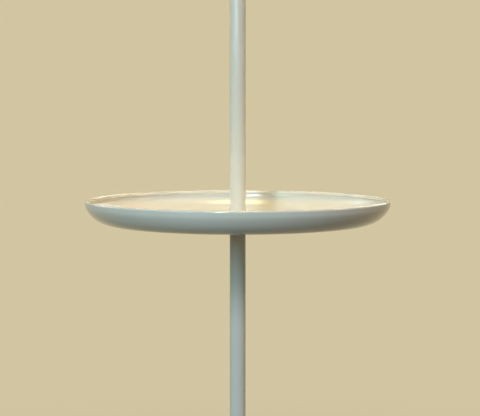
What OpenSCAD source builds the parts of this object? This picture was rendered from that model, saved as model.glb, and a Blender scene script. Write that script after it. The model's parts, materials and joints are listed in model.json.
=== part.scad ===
// Floor lamp with a round dish tray part-way up its pole.
// Three threaded lengths of tube stand on a weighted base. The tray is clamped between the lower
// and the middle length, and the lampholder on top carries a tapered drum shade and a lamp.
// Millimetres, +Z up. The origin is on the floor under the centre of the base. Front is -Y.

/* [Base] */
// Outside diameter of the base cover
base_d = 280; // [230:5:360]
// Height of the cover's flat centre above the floor
base_h = 28; // [26:1:40]
// Sheet thickness of the cover
cover_t = 1.2; // [0.8:0.1:2]
// Outside radius of the cover's rounded edge
cover_edge_r = 7; // [4:0.5:8]
// Radius of the cover's shallow crown
cover_crown_r = 1500; // [1200:50:4000]
// Diameter of the cover's flat centre, where the pole stands
cover_flat_d = 64; // [56:2:90]
// Gap between the cover's lower edge and the floor
cover_gap = 1.5; // [0.8:0.1:2.5]

/* [Base weight and its feet] */
// Height of the weight's outer rim
weight_rim_h = 12; // [10:0.5:14]
// Width of the weight's outer rim
weight_rim_w = 28; // [20:1:40]
// Thickness of the weight's web
weight_web_t = 7; // [5:0.5:9]
// Diameter of the weight's centre boss
weight_boss_d = 56; // [50:1:70]
// Width of each casting rib
weight_rib_w = 5; // [3:0.5:8]
// Number of casting ribs
weight_ribs = 6; // [6:6:12]
// Diameter of each felt foot
pad_d = 20; // [12:1:24]
// Thickness of each felt foot
pad_t = 3; // [2.6:0.1:4]
// Number of felt feet
pads = 6; // [3:1:9]

/* [Fixing under the base] */
// Diameter of the recess for the nut
recess_d = 36; // [32:1:42]
// Depth of the recess for the nut
recess_h = 12; // [11:0.5:14]
// Diameter of the plain washer
washer_d = 28; // [22:1:30]
// Thickness of the plain washer
washer_t = 2; // [1:0.25:2]
// Thickness of the split lock washer
lock_t = 1.6; // [1.2:0.2:2]
// Width of the nut across its flats
nut_af = 17; // [15:0.5:19]
// Height of the nut
nut_h = 5; // [4:0.5:6]
// Width of the slot for the lead, from the rear of the weight to the recess
lead_slot_w = 13; // [12:0.5:16]

/* [Lead inlet] */
// Bore of the grommet, for the round lead
inlet_d = 6.2; // [5:0.1:7]
// Wall of the grommet's neck
grommet_wall = 1.3; // [1:0.1:1.8]
// How far the grommet's flanges stand out past its neck
grommet_lip = 1.5; // [1:0.1:1.6]
// Thickness of each flange
grommet_flange_t = 1.6; // [1:0.1:2]
// Length of the grommet's nose behind the base
grommet_nose = 7; // [4:0.5:12]

/* [Pole] */
// Outside diameter of the pole
pole_d = 20; // [17:0.5:26]
// Wall of the pole's tube
pole_wall = 1.2; // [0.8:0.1:1.6]
// Length of the lower tube
lower_len = 510; // [420:5:640]
// Length of the middle tube
middle_len = 430; // [340:5:520]
// Length of the upper tube
upper_len = 345; // [260:5:420]
// Bevel on the outside edge of each tube end
tube_bevel = 0.4; // [0.2:0.1:0.6]
// Length of each threaded insert in the tube ends
insert_len = 20; // [16:1:30]
// Thread diameter of the hollow studs
stud_d = 10; // [9:0.5:11]
// Bore of the hollow studs, for the lead
stud_bore = 7; // [5:0.5:7.5]
// Length of stud thread in each insert
stud_grip = 15; // [10:0.5:16]
// Outside diameter of the collar at the foot of the pole
collar_d = 36; // [32:1:48]
// Height of the collar
collar_h = 10; // [6:0.5:20]
// Radius of the collar's top edge
collar_edge_r = 3; // [1:0.5:4]

/* [Tray] */
// Outside diameter of the tray over its lip
tray_d = 380; // [300:5:460]
// Height of the tray from its underside to the top of its lip
tray_h = 29.5; // [26:0.5:45]
// Sheet thickness of the tray
tray_t = 1.6; // [1:0.1:2.4]
// Diameter of the lip, which is rolled inwards
lip_d = 5; // [3.4:0.1:6]
// Outside radius of the wide curve between the floor and the shoulder
tray_curve_r = 36; // [25:1:40]
// Slope of the tray where the wide curve meets the shoulder, in degrees from level
tray_curve_end = 62; // [50:1:70]
// Outside radius of the shoulder, the tight curve below the rim
tray_shoulder_r = 13; // [6:1:20]
// Slope of the rim under the lip, in degrees from level
tray_rim_angle = 84; // [75:1:88]
// Diameter of the backing plate under the tray
plate_d = 60; // [40:1:80]
// Thickness of the backing plate
plate_t = 2.4; // [1.6:0.2:4]
// Thickness of the nylon seat washer between the tray and the middle tube
seat_t = 1; // [0.6:0.1:2]

/* [Lampholder] */
// Outside diameter of the lampholder's cap
cap_d = 40; // [38:0.5:44]
// Wall of the cap at its thread
cap_wall = 2.4; // [2:0.1:3]
// Thickness of the cap's floor, which screws on the head stud
cap_floor = 6; // [5:0.5:9]
// Height of the room for the switch in the cap
switch_room_h = 16; // [15:0.5:20]
// Height of the screwed joint between the cap and the shell
cap_thread_h = 5; // [4:0.5:8]
// Wall of the shell above the cap
shell_wall = 3.5; // [3:0.1:4]
// Radial step from the cap's thread in to the shell's bore
bore_step = 2.1; // [1.6:0.1:2.6]
// Height of the shell above the cap
shell_len = 37; // [34:1:44]
// Distance from the cap to the shade shoulder
shoulder_up = 10; // [6:0.5:12]
// Diameter of the shade shoulder
shoulder_d = 49; // [46:0.5:50]
// Thickness of the shade shoulder
shoulder_t = 2.5; // [1.5:0.5:4]
// Thickness of the core's flange
core_flange_t = 4; // [3:0.5:6]
// Height of the core's boss above its flange
core_boss_h = 8; // [6:0.5:10]
// Outside diameter of the shade ring
shade_ring_d = 49; // [46:0.5:50]
// Height of the shade ring
shade_ring_h = 8; // [5:0.5:12]
// Number of finger notches round the shade ring
shade_ring_notches = 12; // [6:1:18]

/* [Lamp and its socket] */
// Thread diameter of the lamp's cap
lamp_thread_d = 26.6; // [26:0.1:27]
// Sheet thickness of the screw shell
screw_shell_t = 0.7; // [0.5:0.1:1]
// Height of the screw shell
screw_shell_h = 24; // [20:1:26]
// Height of the springy centre contact
contact_h = 2.5; // [1.5:0.1:3]
// Height of the lamp's threaded cap
lamp_cap_h = 23; // [20:0.5:24]
// Diameter of the lamp's globe
lamp_d = 60; // [50:1:64]
// Length of the lamp from its tip to its top
lamp_len = 108; // [102:1:116]
// Wall of the lamp's diffuser
diffuser_t = 1.5; // [1:0.1:2]

/* [Switch] */
// Diameter of the switch spindle
spindle_d = 4; // [3:0.1:5]
// Width of the key's paddle
key_w = 17; // [12:0.5:20]
// Length of the key from its hub to its end
key_len = 16; // [12:0.5:22]
// Thickness of the key's paddle
key_t = 3.4; // [2.5:0.1:5]
// Width of the switch cam across its flats
cam_w = 7.4; // [6.4:0.2:8]
// Length of the switch cam along the spindle
cam_len = 7; // [4:0.5:9]

/* [Shade] */
// Outside diameter of the shade at its lower edge
shade_bottom_d = 400; // [340:5:460]
// Outside diameter of the shade at its upper edge
shade_top_d = 350; // [290:5:380]
// Height of the shade
shade_h = 240; // [180:5:280]
// Height of the shade's upper edge above the lampholder's fitter
shade_rise = 137; // [110:1:160]
// Thickness of the laminated cover
shade_t = 1; // [0.6:0.1:1.5]
// Diameter of the shade's wires
wire_d = 3.2; // [3:0.1:4]
// Diameter of the arms' rods
arm_d = 2.6; // [2:0.1:2.8]
// Thickness of the fitter, the flat ring that sits on the shade shoulder
fitter_t = 1.5; // [1:0.1:2]
// Width of the fitter outside the shade shoulder
fitter_rim = 5; // [4.5:0.5:8]
// Number of arms from the fitter to the top wire
arms = 3; // [3:1:4]

/* [Hidden] */
$fn = 96;
eps = 0.01;

// Clearances
slip_gap = 0.2; // radial, between pieces that pass each other
seat_gap = 0.15; // between a grommet's flange and the sheet that it grips
spindle_gap = 0.05; // radial, so that the spindle turns in the cap
key_gap = 0.6; // between the key's hub and the cap
notch_gap = 0.5; // round each arm, where the shade's hem is notched

// Base, from the floor up
base_r = base_d / 2;
cover_bore_d = stud_d + 2 * slip_gap;
weight_r = base_r - cover_t - 2 * slip_gap;
weight_top = base_h - cover_t;
weight_rim_top = pad_t + weight_rim_h;
recess_top = pad_t + recess_h;
pad_ring_r = weight_r - weight_rim_w / 2;
flat_r = cover_flat_d / 2;
edge_x = base_r - cover_edge_r;
crown_a = asin((edge_x - flat_r) / (cover_crown_r - cover_edge_r));
edge_z = base_h - cover_crown_r + (cover_crown_r - cover_edge_r) * cos(crown_a);

// Fixing under the base
lock_z = recess_top - washer_t - lock_t;
nut_z = lock_z - nut_h;
lock_d = stud_d + 8;
lock_split = 1.6;

// Lead inlet, at mid-height of the cover's upright skirt
inlet_z = (cover_gap + edge_z) / 2;
grommet_neck_r = inlet_d / 2 + grommet_wall;
grommet_flange_r = grommet_neck_r + grommet_lip;

// Pole, from the base up
pole_bore_d = pole_d - 2 * pole_wall;
lower_z = base_h;
lower_top = lower_z + lower_len;
tray_z = lower_top + plate_t;
tray_floor = tray_z + tray_t;
middle_z = tray_floor + seat_t;
middle_top = middle_z + middle_len;
upper_top = middle_top + upper_len;

// Tray profile, on the outside of its sheet, which runs flush into the lip
lip_r = lip_d / 2;
lip_x = tray_d / 2 - lip_r;
lip_z = tray_h - lip_r;
rim_top_x = lip_x + lip_r * sin(tray_rim_angle);
rim_top_z = lip_z - lip_r * cos(tray_rim_angle);
rim_least = 1; // the least straight rim between the shoulder and the lip
tray_shoulder_rise = tray_shoulder_r * (cos(tray_curve_end) - cos(tray_rim_angle));
tray_shoulder_run = tray_shoulder_r * (sin(tray_rim_angle) - sin(tray_curve_end));
// The wide curve is limited by the height that the shoulder and the rim leave it
curve_r = min(tray_curve_r, (rim_top_z - tray_shoulder_rise - rim_least) / (1 - cos(tray_curve_end)));
tray_shoulder_z = curve_r * (1 - cos(tray_curve_end));
rim_len = (rim_top_z - tray_shoulder_rise - tray_shoulder_z) / sin(tray_rim_angle);
tray_shoulder_x = rim_top_x - rim_len * cos(tray_rim_angle) - tray_shoulder_run;
tray_floor_r = tray_shoulder_x - curve_r * sin(tray_curve_end);

// Lampholder, from the top of the pole up
cap_r = cap_d / 2;
cap_thread_r = cap_r - cap_wall;
holder_bore_r = cap_thread_r - bore_step;
shell_r = holder_bore_r + shell_wall;
spindle_z = upper_top + cap_floor + switch_room_h / 2;
core_z = upper_top + cap_floor + switch_room_h;
core_flange_top = core_z + core_flange_t;
cap_top = core_flange_top + cap_thread_h;
shell_top = cap_top + shell_len;
shoulder_z = cap_top + shoulder_up;
fitter_z = shoulder_z + shoulder_t;
shade_ring_z = fitter_z + fitter_t;
core_top = core_flange_top + core_boss_h;
terminal_y = holder_bore_r * 0.6;
terminal_d = 3.5;
lock_screw_d = 3;

// Lamp
screw_shell_r = lamp_thread_d / 2 + screw_shell_t;
contact_r = 4.5;
lamp_z = core_top + contact_h;
lamp_tip_h = 1.4;
lamp_cap_z = lamp_z + 4;
lamp_body_z = lamp_cap_z + lamp_cap_h;
globe_r = lamp_d / 2;
globe_z = lamp_z + lamp_len - globe_r;
globe_cut = globe_r * 0.6; // the globe ends this far below its centre
globe_cut_r = sqrt(pow(globe_r, 2) - pow(globe_cut, 2));
lamp_body_h = globe_z - globe_cut - lamp_body_z;
lamp_neck_r = lamp_thread_d / 2 + 0.4;
led_board_t = 1.6;
led_board_r = globe_cut_r - diffuser_t - 1;
led_w = 3;
leds = 8;

// Switch
cam_corner_r = cam_w / 2 / cos(22.5);
blade_t = 0.6;
blade_w = 5;
blade_y = cam_corner_r + 1.2;
hub_d = spindle_d + 5;
hub_x = cap_r + key_gap;
key_end_r = 3;

// Shade: both hems roll round a wire, and the cover lies on the outside of both
wire_r = wire_d / 2;
hem_r = wire_r + shade_t;
hem_wrap = 205;
shade_top = shade_ring_z + shade_rise;
shade_bottom = shade_top - shade_h;
top_wire = [shade_top_d / 2 - hem_r, shade_top - hem_r];
bottom_wire = [shade_bottom_d / 2 - hem_r, shade_bottom + hem_r];
shade_lean = atan2(bottom_wire[0] - top_wire[0], top_wire[1] - bottom_wire[1]);
shade_slant = norm(top_wire - bottom_wire);
fitter_bore_r = shell_r + slip_gap;
fitter_r = shoulder_d / 2 + fitter_rim;
arm_foot = [shoulder_d / 2 + arm_d / 2 + 1, fitter_z + fitter_t / 2];
arm_run = top_wire - arm_foot;

// Finishes
white_paint = "#F1F0EA";
white_plastic = "#EDEBE4";
zinc = "#B9BBBD";
brass = "#C9A24B";

// ---- Shared shapes ----

// Outline of a tube's wall from z0 to z1, with its outer edges bevelled
function wall_outline(r_in, r_out, z0, z1, bevel) = [
    [r_in, z0],
    [r_out - bevel, z0],
    [r_out, z0 + bevel],
    [r_out, z1 - bevel],
    [r_out - bevel, z1],
    [r_in, z1]
];

// A turned tube or ring that stands on z0
module turned_ring(r_in, r_out, z0, z1, bevel = 0.3) {
    rotate_extrude()
        polygon(wall_outline(r_in, r_out, z0, z1, bevel));
}

// Part of a flat ring, from angle a0 to angle a1: a bent sheet seen on its edge
module arc_band(r_out, t, a0, a1) {
    steps = 6;
    intersection() {
        difference() {
            circle(r_out);
            circle(r_out - t);
        }
        polygon(concat(
            [[0, 0]],
            [for (i = [0 : steps]) let (a = a0 + (a1 - a0) * i / steps) 3 * r_out * [cos(a), sin(a)]]
        ));
    }
}

// Copies of what follows, at n even steps round the pole
module around(n, start = 0) {
    for (i = [0 : n - 1])
        rotate(start + i * 360 / n)
            children();
}

// A threaded insert in one end of a tube, with its outer face at z0
module pole_insert(z0) {
    turned_ring(stud_d / 2, pole_bore_d / 2, z0, z0 + insert_len, 0.5);
}

// Both inserts of one tube
module insert_pair(z0, z1) {
    color(zinc) {
        pole_insert(z0);
        pole_insert(z1 - insert_len);
    }
}

// One length of the pole
module pole_tube(z0, z1) {
    color(white_paint)
        turned_ring(pole_bore_d / 2, pole_d / 2, z0, z1, tube_bevel);
}

// A hollow threaded stud
module hollow_stud(z0, z1) {
    color(zinc)
        turned_ring(stud_bore / 2, stud_d / 2, z0, z1, 0.6);
}

// ---- Base ----

module foot_pads() {
    color("#6E6A63")
        around(pads, 90 + 180 / pads)
            translate([pad_ring_r, 0, 0])
                cylinder(d = pad_d, h = pad_t);
}

module base_weight() {
    color("#3C3D3F")
        difference() {
            union() {
                turned_ring(weight_r - weight_rim_w, weight_r, pad_t, weight_rim_top, 1);
                turned_ring(cover_bore_d / 2, weight_r - weight_rim_w / 2, pad_t, pad_t + weight_web_t, 0);
                turned_ring(cover_bore_d / 2, weight_boss_d / 2, pad_t, weight_top, 1.5);
                around(weight_ribs, 90 + 180 / weight_ribs)
                    translate([weight_boss_d / 2 - 2, -weight_rib_w / 2, pad_t])
                        cube([weight_r - weight_rim_w - weight_boss_d / 2 + 4, weight_rib_w, weight_rim_h - 2]);
            }
            translate([0, 0, pad_t - eps])
                cylinder(d = recess_d, h = recess_h + eps);
            translate([-lead_slot_w / 2, 0, pad_t - 1])
                cube([lead_slot_w, base_r, weight_rim_h + 2]);
        }
}

// Points along an arc, from after angle a0 up to angle a1
function arc_points(centre, r, a0, a1, steps = 8) = [
    for (i = [1 : steps])
        let (a = a0 + (a1 - a0) * i / steps)
        centre + r * [cos(a), sin(a)]
];

// Half of the cover's outline: flat centre, crown, rounded edge and upright skirt
module cover_outline() {
    crown_centre = [flat_r, base_h - cover_crown_r];
    edge_centre = [edge_x, edge_z];
    edge_a = 90 - crown_a;
    polygon(concat(
        [[cover_bore_d / 2, base_h], [flat_r, base_h]],
        arc_points(crown_centre, cover_crown_r, 90, edge_a),
        arc_points(edge_centre, cover_edge_r, edge_a, 0),
        [[base_r, cover_gap], [base_r - cover_t, cover_gap], [base_r - cover_t, edge_z]],
        arc_points(edge_centre, cover_edge_r - cover_t, 0, edge_a),
        arc_points(crown_centre, cover_crown_r - cover_t, edge_a, 90),
        [[cover_bore_d / 2, base_h - cover_t]]
    ));
}

module base_cover() {
    color(white_paint)
        difference() {
            rotate_extrude()
                cover_outline();
            translate([0, base_r, inlet_z])
                rotate([90, 0, 0])
                    cylinder(r = grommet_neck_r, h = 4 * cover_t, center = true);
        }
}

module cord_grommet() {
    inner_end = -cover_t - seat_gap;
    color("#2B2B2B")
        translate([0, base_r, inlet_z])
            rotate([-90, 0, 0])
                rotate_extrude()
                    polygon([
                        [inlet_d / 2, inner_end - grommet_flange_t],
                        [grommet_flange_r - 0.5, inner_end - grommet_flange_t],
                        [grommet_flange_r, inner_end],
                        [grommet_neck_r, inner_end],
                        [grommet_neck_r, seat_gap],
                        [grommet_flange_r, seat_gap],
                        [grommet_flange_r, seat_gap + grommet_flange_t * 0.6],
                        [grommet_neck_r + 0.5, seat_gap + grommet_flange_t],
                        [grommet_neck_r - 0.3, grommet_nose],
                        [inlet_d / 2, grommet_nose]
                    ]);
}

module pole_collar() {
    color(white_paint)
        translate([0, 0, base_h])
            rotate_extrude() {
                translate([pole_d / 2 + slip_gap, 0])
                    square([collar_d / 2 - pole_d / 2 - slip_gap, collar_h - collar_edge_r]);
                translate([pole_d / 2 + slip_gap, collar_h - collar_edge_r])
                    square([collar_d / 2 - collar_edge_r - pole_d / 2 - slip_gap, collar_edge_r]);
                translate([collar_d / 2 - collar_edge_r, collar_h - collar_edge_r])
                    intersection() {
                        circle(collar_edge_r);
                        square(collar_edge_r);
                    }
            }
}

module base_stud() {
    hollow_stud(nut_z - 0.8, lower_z + stud_grip);
}

module base_washer() {
    color(zinc)
        turned_ring(stud_d / 2 + slip_gap, washer_d / 2, recess_top - washer_t, recess_top, 0.2);
}

module base_lock_washer() {
    color(zinc)
        difference() {
            turned_ring(stud_d / 2 + slip_gap, lock_d / 2, lock_z, lock_z + lock_t, 0.2);
            translate([0, -lock_split / 2, lock_z - 1])
                cube([lock_d, lock_split, lock_t + 2]);
        }
}

module base_nut() {
    across_corners = nut_af / cos(30);
    color(zinc)
        difference() {
            intersection() {
                translate([0, 0, nut_z])
                    cylinder(d = across_corners, h = nut_h, $fn = 6);
                turned_ring(0, across_corners / 2, nut_z, nut_z + nut_h, 0.8);
            }
            translate([0, 0, nut_z - 1])
                cylinder(d = stud_d, h = nut_h + 2);
        }
}

// ---- Pole and tray ----

module lower_pole() {
    pole_tube(lower_z, lower_top);
}

module lower_pole_inserts() {
    insert_pair(lower_z, lower_top);
}

module tray_stud() {
    hollow_stud(lower_top - stud_grip, middle_z + stud_grip);
}

module tray_backing_plate() {
    color(white_paint)
        turned_ring(stud_d / 2 + slip_gap, plate_d / 2, lower_top, tray_z, 0.6);
}

// Half of the tray's outline, with its underside on the axis x: floor, wide curve, shoulder, rim and rolled lip
module tray_outline() {
    bore_r = stud_d / 2 + slip_gap;
    translate([bore_r, 0])
        square([tray_floor_r - bore_r, tray_t]);
    translate([tray_floor_r, curve_r])
        arc_band(curve_r, tray_t, -90, tray_curve_end - 90);
    translate([
        tray_shoulder_x - tray_shoulder_r * sin(tray_curve_end),
        tray_shoulder_z + tray_shoulder_r * cos(tray_curve_end)
    ])
        arc_band(tray_shoulder_r, tray_t, tray_curve_end - 90, tray_rim_angle - 90);
    translate([lip_x, lip_z])
        rotate(tray_rim_angle - 90)
            translate([lip_r - tray_t, -rim_len])
                square([tray_t, rim_len]);
    translate([lip_x, lip_z])
        circle(lip_r);
}

module tray() {
    color(white_paint)
        translate([0, 0, tray_z])
            rotate_extrude()
                tray_outline();
}

module tray_seat_washer() {
    color("#E4E2DC")
        turned_ring(stud_d / 2 + slip_gap, pole_d / 2 - 0.3, tray_floor, middle_z, 0.1);
}

module middle_pole() {
    pole_tube(middle_z, middle_top);
}

module middle_pole_inserts() {
    insert_pair(middle_z, middle_top);
}

module joint_stud() {
    hollow_stud(middle_top - stud_grip, middle_top + stud_grip);
}

module upper_pole() {
    pole_tube(middle_top, upper_top);
}

module upper_pole_inserts() {
    insert_pair(middle_top, upper_top);
}

module head_stud() {
    hollow_stud(upper_top - stud_grip, upper_top + cap_floor);
}

// ---- Lampholder ----

module holder_cap() {
    color(white_plastic)
        difference() {
            rotate_extrude()
                polygon([
                    [stud_d / 2, upper_top],
                    [pole_d / 2 + 2, upper_top],
                    [cap_r, upper_top + cap_r - pole_d / 2 - 2],
                    [cap_r, cap_top - 0.5],
                    [cap_r - 0.5, cap_top],
                    [cap_thread_r, cap_top],
                    [cap_thread_r, core_z],
                    [holder_bore_r, core_z],
                    [holder_bore_r, upper_top + cap_floor],
                    [stud_d / 2, upper_top + cap_floor]
                ]);
            translate([0, 0, spindle_z])
                rotate([0, 90, 0])
                    cylinder(d = spindle_d + 2 * spindle_gap, h = cap_r + 1);
            translate([0, 0, upper_top + cap_floor / 2])
                rotate([90, 0, 0])
                    cylinder(d = lock_screw_d, h = cap_r + 1);
        }
}

module holder_lock_screw() {
    screw_len = 6;
    socket_af = 1.5;
    color(zinc)
        translate([0, -stud_d / 2, upper_top + cap_floor / 2])
            rotate([90, 0, 0])
                difference() {
                    cylinder(d = lock_screw_d, h = screw_len);
                    translate([0, 0, screw_len - 2])
                        cylinder(d = socket_af / cos(30), h = 3, $fn = 6);
                }
}

module holder_core() {
    color("#E6E1D6")
        difference() {
            union() {
                turned_ring(0, cap_thread_r - slip_gap, core_z, core_flange_top, 0.3);
                turned_ring(0, holder_bore_r - slip_gap, core_flange_top - eps, core_top, 0.5);
            }
            around(2, 90)
                translate([terminal_y, 0, core_z - 1])
                    cylinder(d = terminal_d, h = core_flange_t + core_boss_h + 2);
        }
}

module terminal_screws() {
    head_d = terminal_d + 2;
    head_h = 2;
    color(brass)
        around(2, 90)
            translate([terminal_y, 0, core_z - head_h]) {
                difference() {
                    cylinder(d = head_d, h = head_h);
                    translate([-head_d, -0.4, -1])
                        cube([2 * head_d, 0.8, 1.8]);
                }
                cylinder(d = terminal_d, h = head_h + core_flange_t + core_boss_h);
            }
}

// The rounded button that the lamp's tip presses on
module centre_contact() {
    button_h = 1;
    color(brass)
        rotate_extrude()
            polygon([
                [0, core_top],
                [contact_r, core_top],
                [contact_r, core_top + button_h],
                [contact_r * 0.5, lamp_z],
                [0, lamp_z]
            ]);
}

module screw_shell() {
    lip_in = 4;
    color(brass)
        rotate_extrude()
            polygon([
                [screw_shell_r - lip_in, core_top],
                [screw_shell_r, core_top],
                [screw_shell_r, core_top + screw_shell_h],
                [screw_shell_r - screw_shell_t, core_top + screw_shell_h],
                [screw_shell_r - screw_shell_t, core_top + screw_shell_t],
                [screw_shell_r - lip_in, core_top + screw_shell_t]
            ]);
}

module holder_shell() {
    color(white_plastic)
        rotate_extrude()
            polygon([
                [holder_bore_r, core_flange_top],
                [cap_thread_r, core_flange_top],
                [cap_thread_r, cap_top],
                [shell_r, cap_top],
                [shell_r, shoulder_z],
                [shoulder_d / 2 - 0.5, shoulder_z],
                [shoulder_d / 2, shoulder_z + 0.5],
                [shoulder_d / 2, fitter_z],
                [shell_r, fitter_z],
                [shell_r, shell_top - 1],
                [shell_r - 1, shell_top],
                [holder_bore_r, shell_top]
            ]);
}

module shade_ring() {
    notch_r = 1.2;
    color(white_plastic)
        difference() {
            turned_ring(shell_r, shade_ring_d / 2, shade_ring_z, shade_ring_z + shade_ring_h, 0.8);
            around(shade_ring_notches)
                translate([shade_ring_d / 2 + notch_r * 0.4, 0, shade_ring_z + 2])
                    cylinder(r = notch_r, h = shade_ring_h);
        }
}

// ---- Switch ----

// The key's paddle, seen along y: its hub end is straight and its outer corners are round
module key_outline() {
    difference() {
        translate([0, -key_w / 2])
            square([key_len, key_w]);
        for (side = [-1, 1])
            translate([key_len - key_end_r, side * (key_w / 2 - key_end_r)])
                difference() {
                    translate([0, side > 0 ? 0 : -key_end_r - 1])
                        square(key_end_r + 1);
                    circle(key_end_r);
                }
    }
}

module switch_key() {
    hub_len = key_len - 4;
    grip_x = 4;
    color(white_plastic)
        translate([hub_x, 0, spindle_z])
            difference() {
                union() {
                    rotate([0, 90, 0])
                        cylinder(d = hub_d, h = hub_len);
                    intersection() {
                        rotate([90, 0, 0])
                            translate([0, 0, -key_t / 2])
                                linear_extrude(key_t)
                                    key_outline();
                        translate([grip_x, -key_w, -key_w])
                            cube(2 * key_w);
                    }
                }
                translate([-1, 0, 0])
                    rotate([0, 90, 0])
                        cylinder(d = spindle_d, h = hub_len - 2);
            }
}

module switch_spindle() {
    color(zinc)
        translate([-cam_len / 2 - 1, 0, spindle_z])
            rotate([0, 90, 0])
                cylinder(d = spindle_d, h = hub_x + key_len - 7 + cam_len / 2 + 1);
}

module switch_cam() {
    color("#D8D2C0")
        translate([-cam_len / 2, 0, spindle_z])
            rotate([0, 90, 0])
                difference() {
                    rotate(22.5)
                        cylinder(r = cam_corner_r, h = cam_len, $fn = 8);
                    translate([0, 0, -1])
                        cylinder(d = spindle_d, h = cam_len + 2);
                }
}

// Two springy blades that hang from the core on either side of the cam
module switch_blades() {
    blade_len = switch_room_h - 2;
    foot_len = 3;
    color(brass)
        for (side = [-1, 1])
            translate([-blade_w / 2 - terminal_d / 2 - 1.5, 0, core_z]) {
                translate([0, side * blade_y - blade_t / 2, -blade_len])
                    cube([blade_w, blade_t, blade_len]);
                translate([0, side > 0 ? blade_y - foot_len : -blade_y, -blade_t])
                    cube([blade_w, foot_len, blade_t]);
            }
}

// ---- Lamp ----

module lamp_tip() {
    color(zinc)
        turned_ring(0, contact_r, lamp_z, lamp_z + lamp_tip_h, 0.5);
}

module lamp_insulator() {
    color("#1E1B22")
        rotate_extrude()
            polygon([
                [0, lamp_z + lamp_tip_h],
                [contact_r + 1, lamp_z + lamp_tip_h],
                [lamp_thread_d / 2 - 2, lamp_cap_z],
                [0, lamp_cap_z]
            ]);
}

module lamp_cap() {
    color("#C6C2B4")
        turned_ring(0, lamp_thread_d / 2, lamp_cap_z, lamp_body_z, 1.5);
}

// The lamp's body flares from its cap to the edge of the globe
function flare_r(t) = lamp_neck_r + (globe_cut_r - lamp_neck_r) * pow(t, 1.6);

module lamp_body() {
    steps = 12;
    color("#F0EEE8")
        rotate_extrude()
            polygon(concat(
                [[0, lamp_body_z]],
                [for (i = [0 : steps]) [flare_r(i / steps), lamp_body_z + lamp_body_h * i / steps]],
                [[0, lamp_body_z + lamp_body_h]]
            ));
}

module led_board() {
    color("#DDE3DD")
        translate([0, 0, lamp_body_z + lamp_body_h])
            cylinder(r = led_board_r, h = led_board_t);
}

module led_chips() {
    color("#F3E08A")
        around(leds)
            translate([led_board_r * 0.65 - led_w / 2, -led_w / 2, lamp_body_z + lamp_body_h + led_board_t])
                cube([led_w, led_w, 0.9]);
}

module lamp_diffuser() {
    color("#FBF7EC")
        translate([0, 0, globe_z])
            difference() {
                sphere(globe_r);
                sphere(globe_r - diffuser_t);
                translate([-lamp_d, -lamp_d, -2 * lamp_d - globe_cut])
                    cube(2 * lamp_d);
            }
}

// ---- Shade ----

// The arms' rods, thicker by grow when they cut the notches in the hem
module arm_rods(grow = 0) {
    around(arms, 90)
        translate([arm_foot[0], 0, arm_foot[1]])
            rotate([0, atan2(arm_run[0], arm_run[1]), 0])
                cylinder(r = arm_d / 2 + grow, h = norm(arm_run));
}

module wire_ring(at) {
    rotate_extrude()
        translate(at)
            circle(wire_r);
}

// The flat ring on the shade shoulder, with the arms' feet let into its rim
module shade_fitter() {
    color("#EFEDE6")
        difference() {
            turned_ring(fitter_bore_r, fitter_r, fitter_z, shade_ring_z, 0.2);
            arm_rods();
        }
}

// The arms' outer ends are hollowed to fit the top wire
module shade_arms() {
    color("#EFEDE6")
        difference() {
            arm_rods();
            wire_ring(top_wire);
        }
}

module shade_top_wire() {
    color("#EFEDE6")
        wire_ring(top_wire);
}

module shade_bottom_wire() {
    color("#EFEDE6")
        wire_ring(bottom_wire);
}

// Half of the cover's outline: both hems are rolled inwards over their wires
module shade_outline() {
    translate(bottom_wire)
        rotate(shade_lean) {
            arc_band(hem_r, shade_t, -hem_wrap, 0);
            translate([wire_r, 0])
                square([shade_t, shade_slant]);
            translate([0, shade_slant])
                arc_band(hem_r, shade_t, 0, hem_wrap);
        }
}

module shade_cover() {
    color("#F4EEDF")
        difference() {
            rotate_extrude()
                shade_outline();
            intersection() {
                arm_rods(notch_gap);
                translate([0, 0, shade_top - 8 * wire_d])
                    cylinder(r = top_wire[0], h = 8 * wire_d);
            }
        }
}

// ---- The lamp, piece by piece ----

foot_pads();
base_weight();
base_cover();
cord_grommet();
pole_collar();
base_stud();
base_washer();
base_lock_washer();
base_nut();
lower_pole();
lower_pole_inserts();
tray_stud();
tray_backing_plate();
tray();
tray_seat_washer();
middle_pole();
middle_pole_inserts();
joint_stud();
upper_pole();
upper_pole_inserts();
head_stud();
holder_cap();
holder_lock_screw();
holder_core();
terminal_screws();
centre_contact();
screw_shell();
holder_shell();
shade_ring();
switch_key();
switch_spindle();
switch_cam();
switch_blades();
lamp_tip();
lamp_insulator();
lamp_cap();
lamp_body();
led_board();
led_chips();
lamp_diffuser();
shade_fitter();
shade_arms();
shade_top_wire();
shade_bottom_wire();
shade_cover();
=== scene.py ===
"""A floor lamp with a round dish tray part-way up its pole: the finishes and the fine shapes that
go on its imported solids. Outlines are in millimetres, as in the part's source, and meshes in metres.
"""
import json
import math

import bmesh
import bpy
from mathutils import Matrix, Vector, noise


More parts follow.
